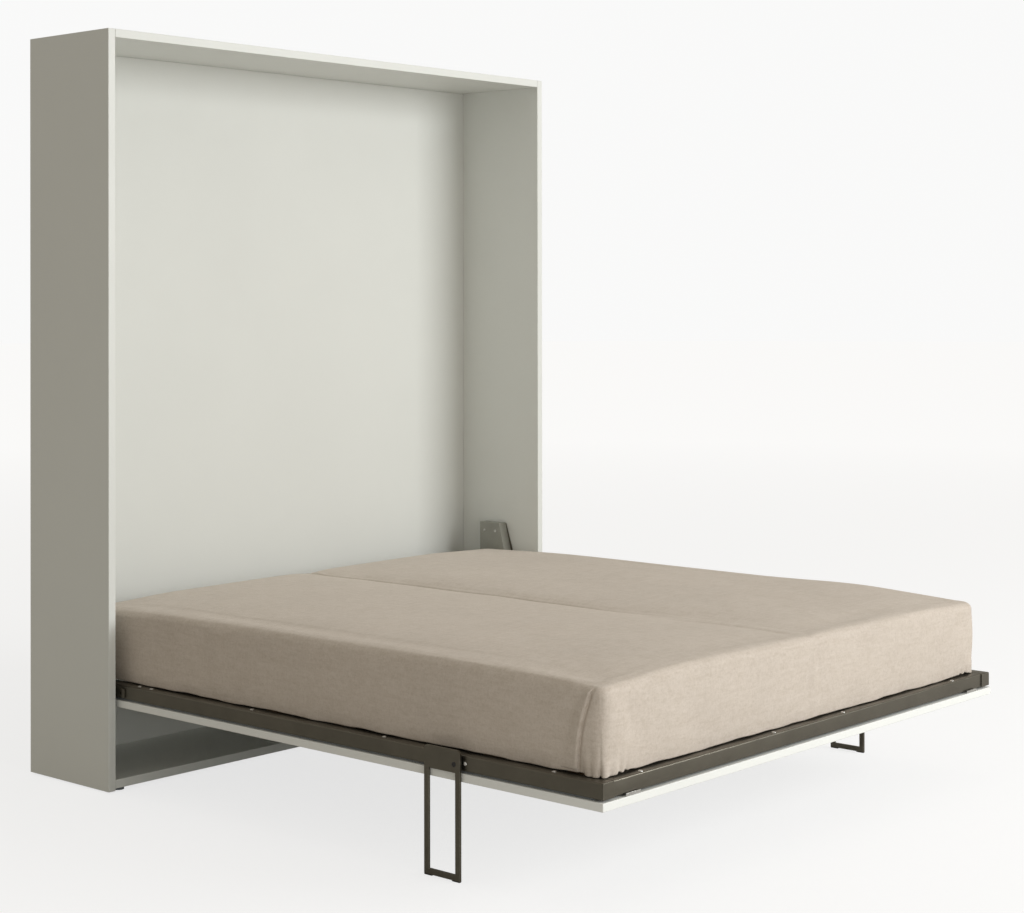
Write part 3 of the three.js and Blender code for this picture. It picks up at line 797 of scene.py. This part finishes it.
def hem_shape(Q):
    """Moves the lowest part of the skirt: scallops by the foot corners, slow waves elsewhere."""
    h = (P0[:, 2] - HEM)
    near = np.exp(-np.maximum(h, 0) / 0.030)
    nearest = np.exp(-np.maximum(h, 0) / 0.012)
    x, y = P0[:, 0], P0[:, 1]
    foot = np.abs(y - FOOT) < 1e-9
    head = np.abs(y - HEAD) < 1e-9
    flank = (np.abs(np.abs(x) - HALF) < 1e-9) & ~foot & ~head
    push = np.zeros(len(x))
    lift = np.zeros(len(x))
    # distance from the foot corner along the foot side, and along the flank
    for sgn, amp in ((-1, 1.0), (1, 0.8)):
        sf = np.abs(sgn * HALF - x)
        m = foot & (sf < 0.6)
        ph = 0.0 if sgn < 0 else 0.006
        push += np.where(m, amp * lobes(sf, [(0.010 + ph, 0.016, 0.0062), (0.052 + ph, 0.012, 0.0040), (0.079, 0.010, 0.0028), (0.104 + ph, 0.011, 0.0022), (0.031 + ph, 0.009, -0.0046), (0.066, 0.008, -0.0034), (0.092, 0.007, -0.0022)]), 0)
        lift += np.where(m, amp * lobes(sf, [(0.010 + ph, 0.017, -0.0072), (0.034 + ph, 0.008, 0.0010), (0.052 + ph, 0.012, 0.0014), (0.067, 0.006, 0.0055), (0.091, 0.006, 0.0060), (0.110, 0.006, 0.0035)]), 0)
        sk = y - FOOT
        m = flank & (np.sign(x) == sgn) & (sk < 0.6)
        push += np.where(m, amp * lobes(sk, [(0.022, 0.014, 0.0058), (0.046, 0.010, 0.0048), (0.034, 0.005, -0.0030), (0.062, 0.006, -0.0030), (0.004, 0.007, -0.0032)]), 0)
        lift += np.where(m, amp * lobes(sk, [(0.022, 0.016, -0.0066), (0.046, 0.010, -0.0048), (0.004, 0.006, 0.0028), (0.066, 0.010, 0.0016)]), 0)
    # slow, shallow waves along all sides
    along = np.where(foot | head, x, y)
    seed = np.where(foot, 0.3, np.where(head, 1.7, np.where(x < 0, 2.9, 4.1)))
    slow = 0.0013 * np.sin(along * 21.0 + seed * 3.1) + 0.0010 * np.sin(along * 43.0 + seed * 5.7) + 0.0006 * np.sin(along * 97.0 + seed)
    wall_mask = (foot | head | flank)
    push += np.where(wall_mask, slow, 0)
    lift += np.where(wall_mask, 0.0011 * np.sin(along * 17.0 + seed * 2.2) + 0.0008 * np.sin(along * 53.0 + seed), 0)
    Q[:, 0] += OUT[:, 0] * push * near
    Q[:, 1] += OUT[:, 1] * push * near
    Q[:, 2] += lift * nearest
    # soft upright folds that climb the sides, strongest by the corners of the foot end
    climb = smooth(0.0, 0.10, h) * (1 - smooth(0.10, 0.215, h))
    d_foot_corner = np.where(foot, HALF - np.abs(x), np.where(flank, y - FOOT, 9.0))
    fade = np.exp(-d_foot_corner / 0.16)
    folds = 0.0016 * np.sin(along * 62.0 + seed * 2.0 + 3.0 * h * 6) * fade + 0.0012 * np.sin(along * 9.5 + seed * 1.3 + h * 2.0) + 0.0006 * np.sin(along * 27.0 + seed * 4.0 - h * 5.0)
    Q[:, 0] += OUT[:, 0] * np.where(wall_mask, folds * climb, 0)
    Q[:, 1] += OUT[:, 1] * np.where(wall_mask, folds * climb, 0)
    Q[:, 2] = np.maximum(Q[:, 2], 0.3159)  # the hem rests just clear of the steel
    return Q


Q2 = hem_shape(Q1.copy())

# centre seam: the cloth dips between the two mattresses, and bridges the gap near the foot
sx = Q2[:, 0]
dip = smooth(-0.62, 0.02, P0[:, 1])
groove = -(0.0050 * np.exp(-(sx / 0.0050) ** 2) + 0.0050 * np.exp(-(sx / 0.045) ** 2)) * (0.12 + 0.88 * dip)
lip = 0.0010 * np.exp(-((np.abs(sx) - 0.013) / 0.006) ** 2) * dip
Q2[:, 2] += np.where(TOPV, groove + lip, 0.0)

# slight unevenness of a made bed: long soft undulations on the top
ux, uy = P0[:, 0], P0[:, 1]
und = (0.0011 * np.sin(ux * 5.1 + uy * 3.3 + 0.4) + 0.0009 * np.sin(ux * 9.7 - uy * 6.1 + 2.0)
       + 0.0006 * np.sin(ux * 17.3 + uy * 12.9 + 1.1) + 0.0005 * np.sin(ux * 3.0 + uy * 21.0))
Q2[:, 2] += np.where(TOPV, und * smooth(0.0, 0.10, np.minimum(HALF - np.abs(ux), np.minimum(uy - FOOT, HEAD - uy))), 0.0)

# tailored corner: a shallow hollow runs down beside the folded edge on each flank
T_TOP, T_LOW = 0.5250, 0.3300


def fold_y(z, end):
    """Y of the folded edge on the flank at height z, at the foot (end = -1) or head (end = 1)."""
    t = np.clip((T_TOP - z) / (T_TOP - T_LOW), 0, 1.06)
    reach = 0.028 + 0.049 * t ** 0.65
    return FOOT + reach if end < 0 else HEAD - reach


flank_like = (np.abs(OUT[:, 0]) > 0.75) & ~TOPV
for end in (-1, 1):
    fy_ = fold_y(Q2[:, 2], end)
    s = (fy_ - Q2[:, 1]) if end < 0 else (Q2[:, 1] - fy_)  # positive on the corner's side of the fold
    hollow = -0.0062 * np.exp(-((s - 0.0032) / 0.0036) ** 2) + 0.0012 * np.exp(-((s - 0.026) / 0.012) ** 2)
    vertical = smooth(T_LOW - 0.02, T_LOW + 0.01, Q2[:, 2]) * (1 - smooth(T_TOP - 0.02, T_TOP + 0.004, Q2[:, 2]))
    Q2[:, 0] += np.where(flank_like, np.sign(OUT[:, 0]) * hollow * (0.35 + 0.65 * vertical), 0.0)

# beside the mechanism covers the flanks stay slim, so the raised bed clears them and their screws
allowed = HALF + 0.0008 + 0.014 * (1 - smooth(0.24, 0.38, P0[:, 1]))
Q2[:, 0] = np.sign(Q2[:, 0]) * np.minimum(np.abs(Q2[:, 0]), allowed)

pts, fcs = add_underside(Q2, cover_faces, hem_loop)
cover = mesh_object("mattress_cover", pts, fcs)
bm = bmesh.new()
bm.from_mesh(cover.data)
big = [g for g in bm.faces if len(g.verts) > 8]
bmesh.ops.triangulate(bm, faces=big)
bmesh.ops.recalc_face_normals(bm, faces=bm.faces)
bm.to_mesh(cover.data)
bm.free()
sub = cover.modifiers.new("sub", "SUBSURF")
sub.levels = sub.render_levels = 1
bpy.context.view_layer.update()
dense = bpy.data.meshes.new_from_object(cover.evaluated_get(bpy.context.evaluated_depsgraph_get()))
cover.modifiers.clear()
cover.data = dense
dense.name = "mattress_cover"
for p in dense.polygons:
    p.use_smooth = True
finish_mesh(cover, MATS["linen_cover"])

# folded edges at the four corners: a doubled strip of cloth laid over the flank
tree_mesh = dense
co = np.empty(len(tree_mesh.vertices) * 3)
tree_mesh.vertices.foreach_get("co", co)
tree = BVHTree.FromPolygons([tuple(c) for c in co.reshape(-1, 3)], [tuple(p.vertices) for p in tree_mesh.polygons])


def flank_x(sgn, y, z):
    hit = tree.ray_cast(Vector((sgn * 1.2, y, z)), Vector((-sgn, 0, 0)))
    if hit[0] is None or abs(hit[0].x) < HALF - 0.06:  # above the cover here: stay at its rounded edge
        hit = tree.ray_cast(Vector((sgn * 1.2, y, z - 0.012)), Vector((-sgn, 0, 0)))
    return hit[0].x if hit[0] is not None and abs(hit[0].x) > HALF - 0.06 else sgn * (HALF - 0.012)


def corner_fold(name, sgn, end):
    """A strip of folded cloth: round along its free edge, easing into the flank behind."""
    rows, cols = 64, 22
    verts, faces = [], []
    ring_n = None
    for r in range(rows + 1):
        t = r / rows
        z = T_TOP + 0.0005 - (T_TOP - T_LOW + 0.004) * t
        ye = float(fold_y(np.array(z), end))
        away = 1.0 if end < 0 else -1.0
        wide = 0.030 + 0.038 * t
        lift = (0.0058 if end < 0 else 0.0014) * min(1.0, t / 0.05 + 0.25) * (1.0 - 0.25 * t)
        section = []
        for c in range(cols + 1):
            b = 1 - c / cols
            y = ye + away * (0.0022 + b * wide)
            base = flank_x(sgn, y, z)
            over = lift * (1 - b) ** 2.2 + 0.0006 * (1 - b) - 0.0016 * b ** 3
            section.append((base + sgn * over, y, z))
        # the rolled free edge
        edge_base = flank_x(sgn, ye, z)
        rr = lift * 0.40
        for a in (25, 55, 90, 125, 160):
            th = math.radians(a)
            section.append((edge_base + sgn * (lift - rr + rr * math.cos(th)), ye + away * (0.0022 - rr * math.sin(th)), z))
        for c in range(0, cols + 1, 3):
            b = c / cols
            y = ye + away * (0.0022 + b * wide)
            base = flank_x(sgn, y, z)
            section.append((base - sgn * 0.0040, y, z))
        if ring_n is None:
            ring_n = len(section)
        verts += section
    for r in range(rows):
        for c in range(ring_n):
            d = (c + 1) % ring_n
            faces.append((r * ring_n + c, r * ring_n + d, (r + 1) * ring_n + d, (r + 1) * ring_n + c))
    faces.append(tuple(range(ring_n)))
    faces.append(tuple(reversed(range(rows * ring_n, (rows + 1) * ring_n))))
    return new_object(name, verts, faces, MATS["linen_cover"], None)


folds = []
for side, sgn in (("left", -1), ("right", 1)):
    for where, end in (("foot", -1), ("head", 1)):
        folds.append(corner_fold("cover_fold_%s_%s" % (where, side), sgn, end))

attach(cover, "bed")
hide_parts("mattress_left", "mattress_right")
for o in folds:
    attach(o, "bed")

# ---------------------------------------------------------------- floor, light

floor_me = bpy.data.meshes.new("floor")
ring = [(60 * math.cos(2 * math.pi * i / 64), 60 * math.sin(2 * math.pi * i / 64), 0.0) for i in range(64)]
floor_me.from_pydata(ring, [], [tuple(range(64))])
floor = bpy.data.objects.new("floor", floor_me)
link(floor)
fm = bpy.data.materials.new("floor")
fm.use_nodes = True
ft = fm.node_tree
ft.nodes.clear()
out = ft.nodes.new("ShaderNodeOutputMaterial")
dif = ft.nodes.new("ShaderNodeBsdfDiffuse")
dif.inputs["Color"].default_value = (0.62, 0.61, 0.59, 1)
dif2 = ft.nodes.new("ShaderNodeBsdfDiffuse")
dif2.inputs["Color"].default_value = (0.26, 0.26, 0.26, 1)
emi = ft.nodes.new("ShaderNodeEmission")
emi.inputs["Color"].default_value = (1, 1, 1, 1)
fc = ft.nodes.new("ShaderNodeTexCoord")
fl = ft.nodes.new("ShaderNodeVectorMath")
fl.operation = "LENGTH"
fr = ft.nodes.new("ShaderNodeMapRange")
fr.inputs["From Min"].default_value = 2.5
fr.inputs["From Max"].default_value = 14.0
fr.inputs["To Min"].default_value = 0.74
fr.inputs["To Max"].default_value = 0.845
ft.links.new(fc.outputs["Object"], fl.inputs[0])
ft.links.new(fl.outputs["Value"], fr.inputs["Value"])
ft.links.new(fr.outputs["Result"], emi.inputs["Strength"])
add = ft.nodes.new("ShaderNodeAddShader")
lp = ft.nodes.new("ShaderNodeLightPath")
mixs = ft.nodes.new("ShaderNodeMixShader")
ft.links.new(dif2.outputs[0], add.inputs[0])
ft.links.new(emi.outputs[0], add.inputs[1])
ft.links.new(lp.outputs["Is Camera Ray"], mixs.inputs[0])
ft.links.new(dif.outputs[0], mixs.inputs[1])
ft.links.new(add.outputs[0], mixs.inputs[2])
ft.links.new(mixs.outputs[0], out.inputs["Surface"])
floor_me.materials.append(fm)

world = bpy.data.worlds.new("studio")
scene.world = world
world.use_nodes = True
wt = world.node_tree
wt.nodes.clear()
wo = wt.nodes.new("ShaderNodeOutputWorld")
seen = wt.nodes.new("ShaderNodeBackground")
seen.inputs["Color"].default_value = (0.95, 0.95, 0.945, 1)
lit = wt.nodes.new("ShaderNodeBackground")
lit.inputs["Color"].default_value = (0.43, 0.402, 0.352, 1)
lp = wt.nodes.new("ShaderNodeLightPath")
mx = wt.nodes.new("ShaderNodeMixShader")
wt.links.new(lp.outputs["Is Camera Ray"], mx.inputs[0])
wt.links.new(lit.outputs[0], mx.inputs[1])
wt.links.new(seen.outputs[0], mx.inputs[2])
wt.links.new(mx.outputs[0], wo.inputs["Surface"])


def area(name, loc, target, size, size_y, power, colour=(1, 1, 1)):
    d = bpy.data.lights.new(name, "AREA")
    d.shape = "RECTANGLE"
    d.size, d.size_y = size, size_y
    d.energy = power
    d.color = colour
    o = bpy.data.objects.new(name, d)
    o.location = loc
    o.rotation_euler = (Vector(target) - Vector(loc)).to_track_quat("-Z", "Y").to_euler()
    link(o)
    return o


area("key", (3.4, -6.4, 3.1), (0.1, 0.0, 0.9), 4.2, 3.0, 368, (0.985, 0.995, 1.0))
area("fill", (-2.3, -5.2, 0.75), (-0.6, 0.4, 0.45), 2.4, 1.2, 40, (0.985, 0.995, 1.0))
area("top", (0.4, -1.6, 5.2), (0.1, -0.4, 0.4), 5.0, 4.0, 22, (1.0, 0.985, 0.96))
